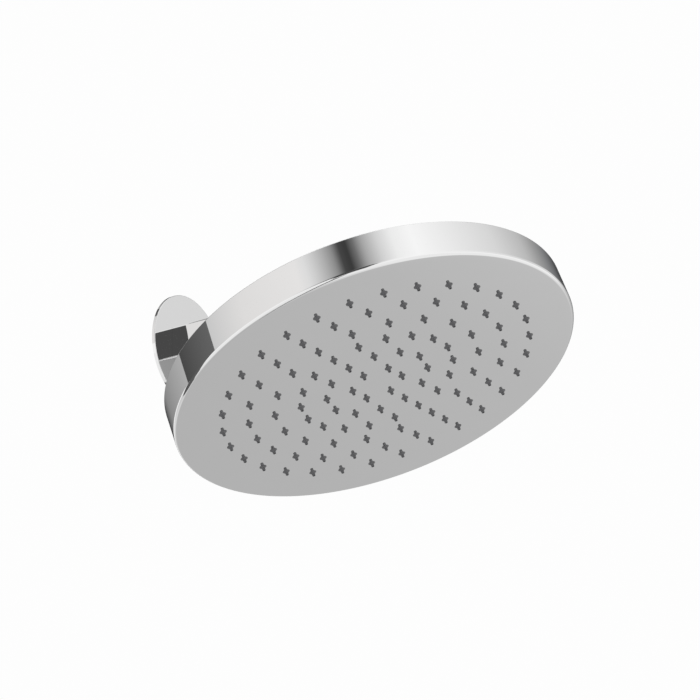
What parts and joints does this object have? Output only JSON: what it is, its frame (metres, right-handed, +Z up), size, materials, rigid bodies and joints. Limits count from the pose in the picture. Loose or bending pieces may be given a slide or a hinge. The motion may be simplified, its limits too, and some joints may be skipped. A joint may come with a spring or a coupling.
{
  "type": "rain shower head",
  "caption": "Flat round wall-mounted rain shower head: a chrome drum with rings of spray nozzles, hung by a ball joint under a short rectangular arm with a round wall flange.",
  "frame": {"origin": "middle of the wall flange on the wall plane, on the axis of the wall nipple", "axes": "+Y into the wall, along the nipple; -Y along the arm into the room; +Z up; +X to the right of a person who faces the wall"},
  "size_m": [0.25, 0.2724, 0.1295],
  "materials": {
    "chrome": "polished chrome plate on metal",
    "brass": "turned, not plated",
    "rubber": "matt black",
    "silicone": "matt grey silicone",
    "plastic": "moulded, off-white",
    "steel": "plain stainless"
  },
  "bodies": {
    "arm": {"wall_flange": "chrome", "flange_gasket": "rubber", "arm_tube": "chrome", "arm_end_cap": "chrome", "arm_inlet_block": "brass", "wall_nipple": "brass", "nipple_seals": "rubber", "arm_grub_screw": "steel", "outlet_bush": "brass", "ball_stud": "chrome", "stud_seal": "rubber", "flow_regulator": "plastic", "filter_screen": "steel"},
    "ring": {"friction_ring": "plastic"},
    "seat": {"ball_seat": "plastic", "ball_seal": "rubber"},
    "head": {"collar_nut": "chrome", "inlet_socket": "brass", "socket_seal": "rubber", "socket_nut": "brass", "head_shell": "chrome", "back_cover": "chrome", "cover_screws": "steel", "nozzle_mat": "silicone", "nozzle_plate": "plastic", "chamber_lid": "plastic", "lid_seal": "rubber", "lid_screws": "steel"}
  },
  "joints": [
    {"name": "tilt", "type": "hinge", "parent": "arm", "child": "ring", "pos_m": [0, -0.1332, -0.0283], "axis": [1, 0, 0], "range_deg": [-2, 26]},
    {"name": "side_tilt", "type": "hinge", "parent": "ring", "child": "seat", "pos_m": [0, -0.1332, -0.0283], "axis": [0, 0.9397, -0.342], "range_deg": [-12, 12]},
    {"name": "swivel", "type": "hinge", "parent": "seat", "child": "head", "pos_m": [0, -0.1332, -0.0283], "axis": [0, 0.342, 0.9397], "continuous": true}
  ]
}
